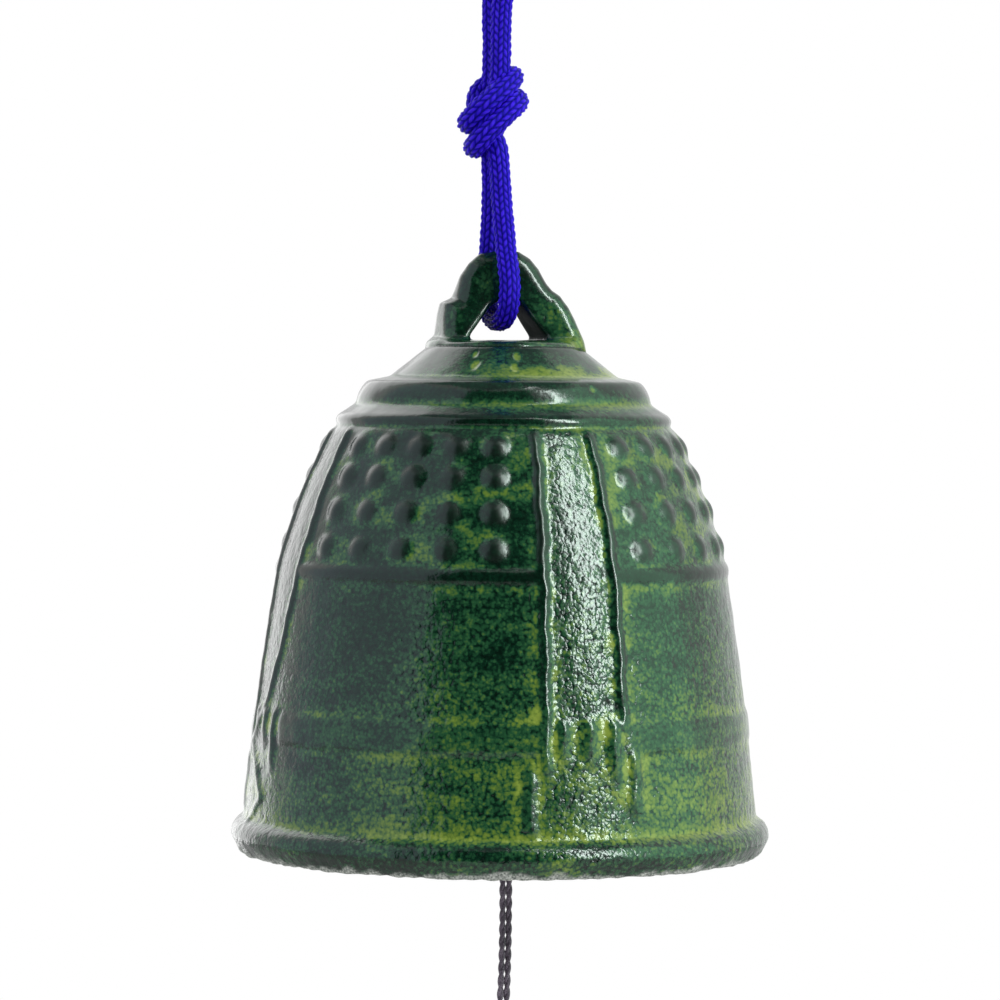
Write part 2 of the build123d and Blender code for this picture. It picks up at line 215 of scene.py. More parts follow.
def add(tree, kind, inputs=None, **settings):
    """A shader node with its settings and its inputs."""
    made = tree.nodes.new("ShaderNode" + kind)
    for key, value in settings.items():
        setattr(made, key, value)
    join(tree, made, inputs or {})
    return made


def join(tree, made, inputs):
    """Join a node's inputs to sockets, or give them values."""
    for key, value in inputs.items():
        if isinstance(value, bpy.types.NodeSocket):
            tree.links.new(value, made.inputs[key])
        else:
            made.inputs[key].default_value = value


def number(tree, operation, *inputs):
    return add(tree, "Math", dict(enumerate(inputs)), operation=operation).outputs[0]


def times_plus(tree, value, factor, plus):
    return number(tree, "MULTIPLY_ADD", value, factor, plus)


def point_value(tree, name):
    return add(tree, "Attribute", attribute_name=name).outputs["Fac"]


def object_noise(tree, scale, **inputs):
    """Values of a noise texture at places on the object."""
    place = add(tree, "TexCoord").outputs["Object"]
    return add(tree, "TexNoise", {"Vector": place, "Scale": scale, **inputs}).outputs["Fac"]


def bump(tree, height, strength, distance, **inputs):
    """The surface's direction, bent by heights of up to that distance."""
    inputs.update({"Height": height, "Strength": strength, "Distance": distance})
    return add(tree, "Bump", inputs).outputs["Normal"]


def colour(red, green, blue):
    """Linear values of an sRGB colour given in 0 to 255."""
    values = np.array([red, green, blue]) / 255
    return tuple(np.where(values <= 0.04045, values / 12.92, ((values + 0.055) / 1.055) ** 2.4))


def ramp(tree, factor, stops):
    """A colour ramp: stops are (place, sRGB colour in 0 to 255)."""
    made = add(tree, "ValToRGB", {"Fac": factor})
    elements = made.color_ramp.elements
    while len(elements) < len(stops):
        elements.new(0.5)
    for element, (place, shade) in zip(elements, stops):
        element.position = place
        element.color = (*colour(*shade), 1)
    return made.outputs["Color"]


def paint(thing, made):
    thing.data.materials.clear()
    thing.data.materials.append(made)


# Hanging cord: routes as in the part's source, with turns listed for its two knots
LUG_LOOP_HALF = [
    (0, -1.55, -37.0), (0, -1.8, -41.2), (0, -2.5, -44.6), (0, -3.3, -47.9), (0, -5.0, -52.5),
    (0, -3.3, -57.0),
]
HANGING_STRAND = [
    (0, -1.53, -24.7), (0, -1.56, -20.4), (0, -1.9, -15.6), (0, -3.2, -11.0), (0, -4.7, -6.6),
    (0, -4.4, -1.8), (0, -1.7, 2.6),
]
TAIL = [(0, -1.5, 11.2), (0, -1.7, 14.4), (0, -2.6, 17.6)]
KNOT_MIDDLE = -29.8
END_KNOT_MIDDLE = 6.9
END_KNOT_SQUEEZE = 0.86
# Each strand's way down through a knot: to the right, away from the camera, up
KNOT_FRONT = [
    (0.5, -1.3, 3.4), (0.3, -0.7, 1.0), (-0.2, 0.4, -1.8), (-1.0, 1.8, -3.4), (-2.3, 1.6, -4.3),
    (-3.0, -0.3, -4.7), (-2.3, -2.4, -3.9), (-0.8, -3.2, -2.3), (0.9, -2.9, -0.6), (2.4, -1.6, 0.9),
    (2.9, 0.4, 1.7), (1.7, 2.3, 1.9), (-0.4, 2.9, 1.1), (-1.6, 1.7, -0.6), (-1.0, 0.2, -2.6),
    (0.2, -1.2, -4.6),
]
KNOT_BACK = [
    (-0.5, 1.3, 3.6), (-0.8, 1.0, 1.4), (-1.4, 1.5, 0.0), (-2.8, 1.5, -0.9), (-3.8, -0.2, -1.6),
    (-3.1, -2.4, -0.8), (-1.5, -3.2, 0.7), (0.2, -3.0, 2.3), (1.6, -1.9, 3.8), (2.3, 0.0, 4.7),
    (1.6, 2.0, 4.8), (-0.4, 2.8, 4.2), (-2.0, 2.2, 3.0), (-2.6, 0.9, 1.4), (-2.0, 0.3, -0.8),
    (-0.7, 0.9, -3.4),
]
# How far the cord hangs to the camera's right of the bell's axis, at some heights
SWAY_HEIGHTS = (-57, -45, -36, -14, -3)
SWAY = (-0.75, -1.0, -1.3, -1.3, 0)
CORD_RADIUS = 1.46
CORD_STEP = 0.145
CORD_END_ROUNDING = 0.8
CORD_END_SHARE = 0.05
BRAID_COLUMNS = 12
POINTS_PER_COLUMN = 6
BRAID_PITCH = 1.02
BRAID_SLANT = 0.66
BRAID_RELIEF = 0.3
BRAID_UNEVEN = 0.34
UNEVEN_SEED = 5
UNEVEN_PICKS = 97
PICK_SQUARENESS = (2.2, 2.4)
THREADS_PER_PICK = 5
KNOT_SWELL = 0.13
KNOT_REACH = 5.0


def knot_turns(turns, middle, squeeze=1.0, flip=1.0):
    """A knot's turns in the frame, from places given to the camera's right, away from it and up."""
    return [tuple(flip * a * RIGHT + b * AWAY + (middle + squeeze * z) * UP) for a, b, z in turns]


def across(route):
    """The same route on the other side of the lug."""
    return [(x, -y, z) for x, y, z in route]


def swayed(route):
    """The route moved to where the photograph shows the cord."""
    return [tuple(np.array(place) + np.interp(place[2], SWAY_HEIGHTS, SWAY) * RIGHT) for place in route]


cord_route = swayed(
    TAIL[::-1]
    + knot_turns(KNOT_FRONT[:-1], END_KNOT_MIDDLE, END_KNOT_SQUEEZE, -1.0)
    + HANGING_STRAND[::-1]
    + knot_turns(KNOT_FRONT, KNOT_MIDDLE)
    + LUG_LOOP_HALF
    + across(LUG_LOOP_HALF)[::-1]
    + knot_turns(KNOT_BACK, KNOT_MIDDLE)[::-1]
    + across(HANGING_STRAND)
    + knot_turns(KNOT_BACK, END_KNOT_MIDDLE, END_KNOT_SQUEEZE, -1.0)[::-1]
    + across(TAIL)
)


def braid_height(around, along):
    """Height of a braid's surface, 0 in its grooves and up to 1 on its picks."""
    column = np.floor(around)
    across_pick = around - column
    odd = column % 2
    slant = np.where(odd > 0, 1 - across_pick, across_pick) * BRAID_SLANT
    along = along + slant + 0.5 * odd
    pick = np.floor(along)
    along_pick = along - pick
    uneven = np.random.default_rng(UNEVEN_SEED).random((UNEVEN_PICKS, BRAID_COLUMNS))
    uneven = uneven[pick.astype(int) % UNEVEN_PICKS, column.astype(int) % BRAID_COLUMNS]
    wide = 1 - np.abs(2 * across_pick - 1) ** PICK_SQUARENESS[0]
    long = 1 - np.abs(2 * along_pick - 1) ** PICK_SQUARENESS[1]
    return (1 - BRAID_UNEVEN * uneven) * wide * long


def braid_uv(at, around):
    """Texture places of a braid's corners: the share of a turn, and picks along it."""
    share = np.arange(around) / around
    picks = at / BRAID_PITCH
    low = np.stack(np.meshgrid(share, picks[:-1]), -1)
    high = np.stack(np.meshgrid(share, picks[1:]), -1)
    beside = np.array([1 / around, 0])
    quads = np.stack([low, low + beside, high + beside, high], 2).reshape(-1, 2)
    fans = np.zeros((2 * around * 3, 2))
    return np.vstack([quads, fans])


def braided_cord(name, route):
    """A round braided cord along a route, with its length and ring centres."""
    around = POINTS_PER_COLUMN * BRAID_COLUMNS
    points, at = spaced(nurbs_line(route), CORD_STEP)
    sides, ups = frames(points)
    column = (np.arange(around) / around * BRAID_COLUMNS)[None, :]
    height = braid_height(np.broadcast_to(column, (len(points), around)), (at / BRAID_PITCH)[:, None])
    radius = CORD_RADIUS - BRAID_RELIEF * (1 - height)
    for middle in (KNOT_MIDDLE, END_KNOT_MIDDLE):
        in_knot = np.exp(-(((points[:, 2] - middle) / KNOT_REACH) ** 6))
        radius = radius * (1 + KNOT_SWELL * in_knot)[:, None]
    to_end = np.clip(1 - np.minimum(at, at[-1] - at) / CORD_END_ROUNDING, 0, 1)
    radius = radius * np.sqrt(np.clip(1 - to_end**2, CORD_END_SHARE, 1))[:, None]
    quads, fans = tube_faces(len(points), around)
    verts = tube_points(points, sides, ups, radius, around)
    thing = make_object(name, verts, [quads, *fans], braid_uv(at, around))
    # The braid's height also goes to its material, which paints shade in the grooves and a highlight on the
    # picks.
    set_values(thing, relief=np.concatenate([height.ravel(), [0.5, 0.5]]))
    return thing, at[-1], points


def braid_material():
    """Blue dyed fibre with fine threads along each pick, with painted shade in the grooves and a painted
    highlight on the picks.
    """
    made, tree, shader = new_material("cord_braid")
    lay = add(tree, "UVMap", uv_map="lay").outputs["UV"]
    split = add(tree, "SeparateXYZ", {"Vector": lay}).outputs
    column = number(tree, "MULTIPLY", split["X"], BRAID_COLUMNS)
    zigzag = number(tree, "PINGPONG", column, 1.0)
    slanted = times_plus(tree, zigzag, BRAID_SLANT, split["Y"])
    stripe = number(tree, "SINE", number(tree, "MULTIPLY", slanted, 2 * math.pi * THREADS_PER_PICK))
    speckle = add(tree, "TexNoise", {"Scale": 1400.0, "Detail": 2.0}).outputs["Fac"]
    # Painted shade and highlight: darker in the grooves, lighter on the picks' crests.
    shade = times_plus(tree, stripe, 0.09, point_value(tree, "relief"))
    shade = times_plus(tree, speckle, 0.3, shade)
    tint = ramp(tree, shade, [(0.1, (4, 0, 92)), (0.5, (28, 4, 200)), (1.0, (72, 38, 255))])
    join(tree, shader, {
        "Base Color": tint, "Normal": bump(tree, stripe, 0.5, 0.06 * MM), "Roughness": 0.46,
        "Specular IOR Level": 0.08, "Sheen Weight": 0.02, "Sheen Tint": (*colour(110, 80, 240), 1),
    })
    return made


cord, cord_length, cord_centres = braided_cord("cord_braid", cord_route)
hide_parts("cord_lug_loop", "cord_knot", "cord_hanging_loop", "cord_end_knot", "cord_tails")
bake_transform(cord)
paint(cord, braid_material())

# Bell: its section as radius and height above the rim plane, from the ceiling round the rim to the crown
RIM_Z = -126.016
RIM_EDGE = (34.0, 0.0)
RIM_FOOT = -0.4
RIM_INSIDE = 30
RIM_RADIUS = 35.4
CROWN_EDGE = (10.0, 65.6)
# Each corner has the bow of the run that leads to it
BELL_WALL = [
    ((0, 60.8), 0), ((19.5, 53.5), 1.9), ((26.3, 36.8), 0.8), ((30.3, 5.8), 0.2), ((31.2, RIM_FOOT), 0),
    ((34, RIM_FOOT), 0), ((35.2, 1.7), 0), ((34.7, 3.6), 0.2), ((33.5, 4.5), 0), ((29.295, 36.8), 0.3),
    ((22.4, 54.7), 0.6), ((21.7, 55.3), 0), ((22.0, 55.9), 0), ((21.1, 57.0), 0.2), ((19.3, 58.2), 0),
    ((17.85, 61.1), 0.3), ((14.9, 61.7), 0), (CROWN_EDGE, 0), ((0, 65.7), 0),
]
SECTION_STEP = 0.05
RUN_POINTS = 40
WALL_ROUNDING = 0.24
HOLLOW_WIDTH = 1.3
COLUMNS = 720
# Gaps between the mesh's rows, and how far from the rim and the crown's edge the wider ones begin
OUTSIDE_GAP = 0.34
INSIDE_GAP = 1.5
INSIDE_START = 6
CROWN_GAP = 1.0
CROWN_START = 0.5
POLE_RADIUS = 0.4
BLUR_REACH = 3

# Bell's relief: heights above the rim plane, turns in degrees from the middle of a band
SKIRT = (4, 57)
WAIST = 36.8
WAIST_HALF = 0.85
WAIST_HEIGHT = 0.4
BROW = 54.7
BELT = (14.9, 18.5)
BELT_HEIGHT = 0.3
RIB_TURN = 9.3
BAND_TURN = RIB_TURN - 0.6
RIB_HALF = 0.6
RIB_HEIGHT = 0.5
BAR_HALF = 0.8
BAR_HEIGHT = 0.42
# A band's two sides: the rib's foot, and the turn, foot and head of the bar beside it
BAND_SIDES = ((-1, 12.6, 13.0, 5.0, 13.0), (1, 17.6, 11.6, 7.4, 15.8))
# The band whose right rib wanders across it, and that rib's turns at some heights
LEAF_BAND = 180
LEAF_FOOT = 4.0
LEAF_HEIGHTS = (4.5, 7.5, 11, 14.2, 18, 21, 28, 40)
LEAF_TURNS = (-3.3, 3.7, -2, -8, -2.5, 1.9, 6, RIB_TURN)
# Petals at a band's foot: their turns and the heights that they rise from
PETALS = ((-5.4, 13.8), (0.9, 13.4), (6.9, 10.5))
PETAL_HALF = 0.8
PETAL_HEIGHT = 0.55
PETAL_RISE = 4.5
BOSS_COLUMNS = [43.8 + step * 12.4 for step in (-2, -1, 0, 1, 2)]
BOSS_ROWS = [WAIST + share * (BROW - WAIST) for share in (0.18, 0.436, 0.68, 0.894)]
BOSS_RADIUS = 1.95
BOSS_HEIGHT = 0.57
# Waver of the cast lines: share, rate up the wall, start and shift with the turn
WAVER = ((0.12, 0.83, 1.0, 0), (0.08, 2.1, 0.0, 0), (0.06, 4.7, 0.0, 1))
# Blurs of the relief in rows and columns: for its cast edges, and for the recesses round it
CAST_BLUR = (1.0, 1.3)
RECESS_BLUR = (2.0, 2.7)

# Bell's surface: each noise's size, seed and flattening
NOISES = {"cloud": (11.0, 7, 1.0), "coarse": (6.0, 1, 2.6), "ripple": (2.4, 3, 1.0), "pebble": (1.3, 2, 1.0)}
# Chips in the crown's lacquer: turn, height and size
CHIPS = ((258.9, 64.4, 0.55), (234, 63.3, 0.5), (231.4, 64.6, 0.35), (256.5, 63.0, 0.5), (288, 60.2, 0.4))
CHIP_EDGE = 0.12
CHIP_DEPTH = 0.14
WORN_HEIGHT = 0.9
PATINA_TURN = 320
FLARE_TURN = 318
FLARE_MIDDLE = 62.6
# Heights where the finish changes, with the softness of each change
FLARE_FOOT = (61.6, 0.3)
CROWN_FOOT = (56, 1)
BOSS_FOOT = (WAIST + 1.5, 0.3)
GRAIN_TOP = (34, 9)
RELIEF_FOOT = (21, 1)
LOW_BODY_TOP = (20, 6)
# How yellow-green the lacquer is, and what each cause adds
PATINA_BASE = 0.23
CHIP_PATINA = 0.5
FRONT_PATINA = 0.13
FLARE_PATINA = 0.42
POWDER_PATINA = 0.2
RELIEF_PATINA = -0.3
BOSS_DULLNESS = 0.2


def wall_line():
    """The wall's section with its bowed runs, evenly spaced, and the distances along it."""
    line = [np.array([BELL_WALL[0][0]], float)]
    for (start, _), (end, bow) in zip(BELL_WALL, BELL_WALL[1:]):
        start, end = np.array(start, float), np.array(end, float)
        run = end - start
        out = np.array([abs(run[1]), run[0] * -np.sign(run[1]) if run[1] else 0]) / np.linalg.norm(run)
        t = np.linspace(0, 1, RUN_POINTS)[1:, None]
        line.append(start + run * t + out * 4 * bow * t * (1 - t))
    line = np.vstack(line)
    far = distances(line)
    at = np.arange(0, far[-1], SECTION_STEP)
    return np.stack([np.interp(at, far, line[:, axis]) for axis in (0, 1)], 1), at


def blurred(field, width, axis, wrap=False):
    """A field blurred along an axis by a Gaussian of that width, in cells."""
    reach = int(BLUR_REACH * width)
    weights = np.exp(-0.5 * (np.arange(-reach, reach + 1) / width) ** 2)
    weights /= weights.sum()
    pad = [(0, 0)] * field.ndim
    pad[axis] = (reach, reach)
    wide = np.pad(field, pad, mode="wrap" if wrap else "edge")
    size = field.shape[axis]
    total = np.zeros_like(field, dtype=float)
    for offset, weight in enumerate(weights):
        total += weight * np.take(wide, range(offset, offset + size), axis=axis)
    return total


def blurred_section(line, width):
    """The wall's section with its corners softened over that width."""
    return np.stack([blurred(line[:, axis], width / SECTION_STEP, 0) for axis in (0, 1)], 1)


def step_up(value, edge, softness):
    """0 below an edge and 1 above it."""
    return 0.5 + 0.5 * np.tanh((value - edge) / softness)


def step_down(value, edge, softness):
    return 1 - step_up(value, edge, softness)


def ridge(offset, half):
    """A rounded ridge, 1 on its crest."""
    return np.exp(-np.abs(offset / half) ** 3)


def from_band(turn):
    """The angle from the middle of the nearest of the four bands."""
    return (turn + 45) % 90 - 45


def ribs_and_bars(turn, arc, radius, height, waver):
    """The ribs along the bands and the short bars beside their feet."""
    relief = 0.0
    for side, rib_foot, bar_turn, bar_foot, bar_head in BAND_SIDES:
        leaf = (np.abs(turn - LEAF_BAND) < 45) & (side > 0)
        rib_turn = np.where(leaf, np.interp(height, LEAF_HEIGHTS, LEAF_TURNS), side * RIB_TURN)
        rib = ridge(arc - np.radians(rib_turn) * radius + waver, RIB_HALF) * step_down(height, BROW, 0.3)
        rib = rib * step_up(height, np.where(leaf, LEAF_FOOT, rib_foot), 0.5)
        bar = ridge(arc - side * np.radians(bar_turn) * radius + waver, BAR_HALF) * ~leaf
        bar = bar * step_up(height, bar_foot, 0.7) * step_down(height, bar_head, 0.6)
        relief = np.maximum(relief, np.maximum(RIB_HEIGHT * rib, BAR_HEIGHT * bar))
    return relief


def petals(arc, radius, height, waver):
    """The petals that rise out of each band's foot and end at the belt's top."""
    relief = 0.0
    for petal_turn, petal_foot in PETALS:
        petal = ridge(arc - np.radians(petal_turn) * radius + waver, PETAL_HALF)
        petal = petal * step_down(height, BELT[1] + 0.4, 0.3)
        rise = np.clip((height - petal_foot) / PETAL_RISE, 0, 1) ** 0.7
        relief = np.maximum(relief, PETAL_HEIGHT * petal * rise)
    return relief


def bosses(quarter, radius, height, far):
    """The rows of round bosses in the panels."""
    relief = 0.0
    for row_height in BOSS_ROWS:
        row_far = np.interp(row_height, height[:, 0], far[:, 0])
        for boss_turn in BOSS_COLUMNS:
            aside = np.radians(from_band(quarter - boss_turn)) * radius
            reach = aside**2 + (far - row_far) ** 2
            relief = np.maximum(relief, BOSS_HEIGHT * np.clip(1 - reach / BOSS_RADIUS**2, 0, 1) ** 1.3)
    return relief


def bell_relief(turn, radius, height, far):
    """Raised work on the bell's outside. far is the distance up the wall."""
    quarter = from_band(turn)
    arc = np.radians(quarter) * radius
    in_panel = step_up(np.abs(quarter), RIB_TURN, 0.25)
    waver = sum(share * np.sin(height * rate + start + shift * turn) for share, rate, start, shift in WAVER)
    hoop = WAIST_HEIGHT * ridge(height - WAIST - 0.5 * waver, WAIST_HALF) * in_panel
    belt = BELT_HEIGHT * step_up(height, BELT[0], 0.3) * step_down(height, BELT[1], 0.3) * in_panel
    relief = np.maximum(ribs_and_bars(turn, arc, radius, height, waver), np.maximum(hoop, belt))
    relief = np.maximum(relief, petals(arc, radius, height, waver))
    return np.maximum(relief, bosses(quarter, radius, height, far))


def grain_noise(points, size, seed):
    """Smooth noise from -1 to 1 at each point, with bumps of about that size."""
    shift = np.array([seed * 17.3, seed * 5.9, seed * 11.1])
    return np.array([noise.noise(tuple(place)) for place in points / size + shift])


def round_axis(radius, height, turn):
    """Points at some radii, heights and turns round the bell's axis."""
    spin = np.radians(turn)
    x, y, z = np.broadcast_arrays(radius * np.cos(spin), radius * np.sin(spin), height)
    return np.stack([x, y, z], -1).reshape(-1, 3)


def mottle(wall, base=0.0, **amounts):
    """A base value with amounts of the wall's noises added, each by its name."""
    return base + sum(amount * getattr(wall, name) for name, amount in amounts.items())


def raised(wall, full):
    """0 on the plain wall and 1 where its relief has that full height."""
    return np.clip(wall.relief / full, 0, 1)


def wall_rows():
    """The wall as rows by columns, and each row's distance along the section."""
    line, at = wall_line()
    section = blurred_section(line, WALL_ROUNDING)
    section[0, 0] = section[-1, 0] = 0
    tangent = np.gradient(section, axis=0)
    tangent /= np.linalg.norm(tangent, axis=1)[:, None]
    out = np.stack([tangent[:, 1], -tangent[:, 0]], 1)
    hollow = ((blurred_section(line, HOLLOW_WIDTH) - section) * out).sum(1)
    rim_far, crown_far = (at[np.argmin(np.abs(line - edge).sum(1))] for edge in (RIM_EDGE, CROWN_EDGE))
    gap = np.where(at < rim_far - INSIDE_START, INSIDE_GAP, OUTSIDE_GAP)
    gap[at > crown_far + CROWN_START] = CROWN_GAP
    filled = np.cumsum(SECTION_STEP / gap)
    rows = np.searchsorted(filled, np.arange(0.5, filled[-1], 1.0))
    rows = rows[section[rows, 0] > POLE_RADIUS]
    far = at[rows][:, None]
    wall = SimpleNamespace(
        radius=section[rows, :1], height=section[rows, 1:], out=out[rows], hollow=hollow[rows][:, None],
        outside=far > rim_far, turn=(np.arange(COLUMNS) / COLUMNS * 360)[None, :],
        pole_heights=(section[0, 1], section[-1, 1]),
    )
    return wall, far


def lacquer_chips(wall):
    """Chips in the crown's lacquer, 1 inside them."""
    chips = np.zeros(wall.relief.shape)
    for turn, height, size in CHIPS:
        aside = np.radians(wall.turn - turn) * wall.radius
        reach = np.hypot(aside, wall.height - height) * mottle(wall, 1, pebble=0.5)
        chips = np.maximum(chips, wall.outside * step_down(reach, size, CHIP_EDGE))
    return chips


def bell_grain(wall):
    """How rough the casting is: most low down and in the bands, least on the crown and the relief."""
    front = step_up(np.cos(np.radians(wall.turn - PATINA_TURN)), 0.3, 0.4)
    low_down = 0.14 + 0.6 * step_down(wall.height, *GRAIN_TOP)
    grain = np.clip(0.06 + low_down * (0.65 + 0.35 * front) + 0.24 * wall.in_band, 0, 1)
    grain = grain * (1 - 0.8 * step_up(wall.height, *CROWN_FOOT)) * (1 - 0.7 * raised(wall, 0.35))
    return grain * wall.outside


def bell_wall():
    """The wall's rows and columns, with all that its shape and its finish depend on."""
    wall, far = wall_rows()
    skirt = (wall.outside & (wall.height > SKIRT[0]) & (wall.height < SKIRT[1]))[:, 0]
    relief = np.zeros((len(far), COLUMNS))
    relief[skirt] = bell_relief(wall.turn, wall.radius[skirt], wall.height[skirt], far[skirt])
    wall.relief = blurred(blurred(relief, CAST_BLUR[0], 0), CAST_BLUR[1], 1, wrap=True)
    around = blurred(blurred(wall.relief, RECESS_BLUR[0], 0), RECESS_BLUR[1], 1, wrap=True)
    wall.recess = around - wall.relief
    place = round_axis(wall.radius, wall.height, wall.turn)
    for name, (size, seed, flattening) in NOISES.items():
        values = grain_noise(place * np.array([1, 1, flattening]), size, seed)
        setattr(wall, name, values.reshape(relief.shape))
    wall.in_band = (np.abs(from_band(wall.turn)) < BAND_TURN) * (wall.height < BROW)
    wall.in_boss = step_up(wall.height, *BOSS_FOOT) * (1 - wall.in_band)
    wall.chips = lacquer_chips(wall)
    wall.grain = bell_grain(wall)
    return wall


def bell_points(wall):
    """The wall's points with its relief, its cast grain, its worn rim and its chips."""
    casting = mottle(wall, coarse=0.05, ripple=0.04) + 0.06 * wall.pebble * wall.grain
    worn = np.exp(-(((wall.height - RIM_FOOT) / WORN_HEIGHT) ** 2)) * (wall.radius > RIM_INSIDE)
    move = wall.relief + wall.outside * casting - CHIP_DEPTH * wall.chips
    move = move + worn * mottle(wall, ripple=0.1, coarse=0.12, pebble=0.16)
    radius = np.minimum(wall.radius + wall.out[:, :1] * move, RIM_RADIUS)
    height = wall.height + wall.out[:, 1:] * move
    poles = [(0, 0, pole + RIM_Z) for pole in wall.pole_heights]
    return np.vstack([round_axis(radius, height + RIM_Z, wall.turn), poles])


def bell_patina(wall):
    """How yellow-green the lacquer is at each point, from 0, dark green, to 1."""
    broken = np.clip(mottle(wall, 0.72, coarse=0.9, ripple=0.7), 0.12, 1.3)
    broken = broken * (1 - 0.5 * ridge(wall.height - BELT[0], 1.4))
    in_recesses = np.clip(4.6 * wall.recess * (1 - 0.6 * wall.in_boss), -0.1, 0.45) * broken
    in_corners = np.clip(1.1 * wall.hollow, -0.12, 0.4)
    patches = mottle(wall, cloud=0.11, coarse=0.12, ripple=0.05)
    low_down = mottle(wall, 0.17, cloud=0.12, coarse=0.1) * step_down(wall.height, *LOW_BODY_TOP)
    front = np.cos(np.radians(wall.turn - PATINA_TURN))
    flare = mottle(wall, ripple=0.9, coarse=0.6) - 0.6 * (wall.height - FLARE_MIDDLE)
    flare = step_up(flare, 0, 0.2) * step_up(wall.height, *FLARE_FOOT)
    flare = flare * step_up(np.cos(np.radians(wall.turn - FLARE_TURN)), 0.45, 0.25)
    powder = step_up(mottle(wall, ripple=0.8, coarse=0.7, pebble=0.3), 0.12, 0.2) * (1 - raised(wall, 0.3))
    powder = powder * wall.in_boss * (wall.height < BROW)
    relief = np.clip(wall.relief, 0, 0.6) * step_up(wall.height, *RELIEF_FOOT)
    return (
        PATINA_BASE + in_recesses + in_corners + patches + low_down + FRONT_PATINA * front
        + FLARE_PATINA * flare + POWDER_PATINA * powder + RELIEF_PATINA * relief + CHIP_PATINA * wall.chips
    )


def bell_body():
    """The cast wall as a mesh object, with the values that its material reads."""
    wall = bell_wall()
    quads, fans = tube_faces(*wall.relief.shape)
    thing = make_object("bell_casting", bell_points(wall), [quads, *fans])
    edge = mottle(wall, 0.15, ripple=0.6, pebble=0.6, coarse=0.3)
    bare = (wall.radius > RIM_INSIDE) * step_up(edge - wall.height, 0, 0.15)
    dull = BOSS_DULLNESS * wall.in_boss * (wall.height < BROW) * raised(wall, 0.3)
    set_values(thing, patina=bell_patina(wall), grain=wall.grain, bare=bare, dull=dull)
    return thing


def iron_material():
    """Green lacquer on cast iron: speckled, yellow-green with patina, with painted shade in the grooves
    between its pebbles and in the lug's eye, and worn to bare metal at the rim.
    """
    made, tree, shader = new_material("bell_iron")
    patina, grain, bare, dull = (point_value(tree, name) for name in ("patina", "grain", "bare", "dull"))
    speckle = object_noise(tree, 1500.0, Detail=3.0, Roughness=0.6)
    blotch = object_noise(tree, 800.0, Detail=2.0, Roughness=0.5)
    fine = object_noise(tree, 3400.0, Detail=2.0)
    place = add(tree, "TexCoord").outputs["Object"]
    cell = add(tree, "TexVoronoi", {"Vector": place, "Scale": 2000.0}).outputs["Distance"]
    groove = number(tree, "POWER", cell, 3.0)
    # Painted shade: the lacquer is darker in the grooves between the pebbles, which the bump below also
    # uses.
    spots = times_plus(tree, groove, -0.7, times_plus(tree, speckle, -1.2, 0.74))
    amount = times_plus(tree, spots, times_plus(tree, grain, 0.6, 0.5), patina)
    lacquer = ramp(tree, amount, [
        (0.0, (2, 26, 15)), (0.25, (8, 48, 30)), (0.46, (38, 88, 54)), (0.7, (96, 128, 50)),
        (1.0, (138, 162, 66)),
    ])
    metal = ramp(tree, fine, [(0.35, (96, 104, 98)), (0.65, (206, 210, 203))])
    tint = add(tree, "Mix", {0: bare, 6: lacquer, 7: metal}, data_type="RGBA").outputs[2]
    pebbles = times_plus(tree, groove, -0.35, blotch)
    pebbled = bump(tree, pebbles, times_plus(tree, grain, 0.6, 0.06), 0.24 * MM)
    normal = bump(tree, fine, 0.12, 0.06 * MM, Normal=pebbled)
    roughness = times_plus(tree, dull, 0.7, times_plus(tree, bare, 0.38, 0.16))
    join(tree, shader, {"Base Color": tint, "Roughness": roughness, "Normal": normal, "IOR": 1.5})
    return made


# Crown ledge and lug, as a distance field around the frame's z axis, heights from the crown's ledge
LEDGE_Z = RIM_Z + 66.3
LEDGE_RADIUS = 10.0
LEDGE_DEPTH = 1.5
LUG_OUTLINE = [
    (9.9, -1.5), (9.3, 0.9), (8.6, 2.9), (7.8, 4.7), (6.9, 6.1), (5.9, 6.8), (5.3, 7.6), (4.4, 9.6),
    (3.3, 11.0), (1.8, 12.0), (-1.2, 12.1), (-3.3, 11.7), (-4.7, 10.3), (-5.7, 8.6), (-6.2, 6.9),
    (-6.6, 5.7), (-8.0, 5.0), (-8.3, 3.3), (-8.5, 0.6), (-9.2, -0.2), (-9.6, -1.5),
]
LUG_THICKNESS = (8.0, 2.4)
LUG_HEIGHT = 11.7
LUG_SKEW = 0.2
EYE = [(-6.1, -0.2), (5.0, -0.2), (1.1, 5.2), (-0.8, 5.6), (-2.6, 4.6)]
LUG_ROUNDING = 2.3
EYE_ROUNDING = 0.9
LEDGE_ROUNDING = 1.4
FOOT_ROUNDING = 1.2
# The field's grid, and how far from the surface it is made uneven
LUG_CELL = 0.22
CROWN_LOWS = np.array([-12.0, -12.0, -2.4])
CROWN_HIGHS = np.array([12.0, 12.0, 12.6])
UNEVEN_DEPTH = 0.7


def polygon_distance(x, z, corners):
    """Distance to a polygon, negative inside it."""
    best = np.full(x.shape, np.inf)
    inside = np.zeros(x.shape, bool)
    for (ax, az), (bx, bz) in zip(corners, corners[1:] + corners[:1]):
        ex, ez = bx - ax, bz - az
        t = np.clip(((x - ax) * ex + (z - az) * ez) / (ex * ex + ez * ez), 0, 1)
        best = np.minimum(best, np.hypot(x - ax - t * ex, z - az - t * ez))
        crosses = (az > z) != (bz > z)
        inside ^= crosses & (x < ax + (z - az) / (ez or 1) * ex)
    return np.where(inside, -best, best)


def soft_max(a, b, width):
    """The larger of two fields, with a rounded edge where they meet."""
    share = np.clip(width - np.abs(a - b), 0, None) / width
    return np.maximum(a, b) + share * share * width / 4


def cell_corners(field, offset):
    """A field's values at one corner of each cell of its grid."""
    return field[tuple(slice(start, start + size - 1) for start, size in zip(offset, field.shape))]


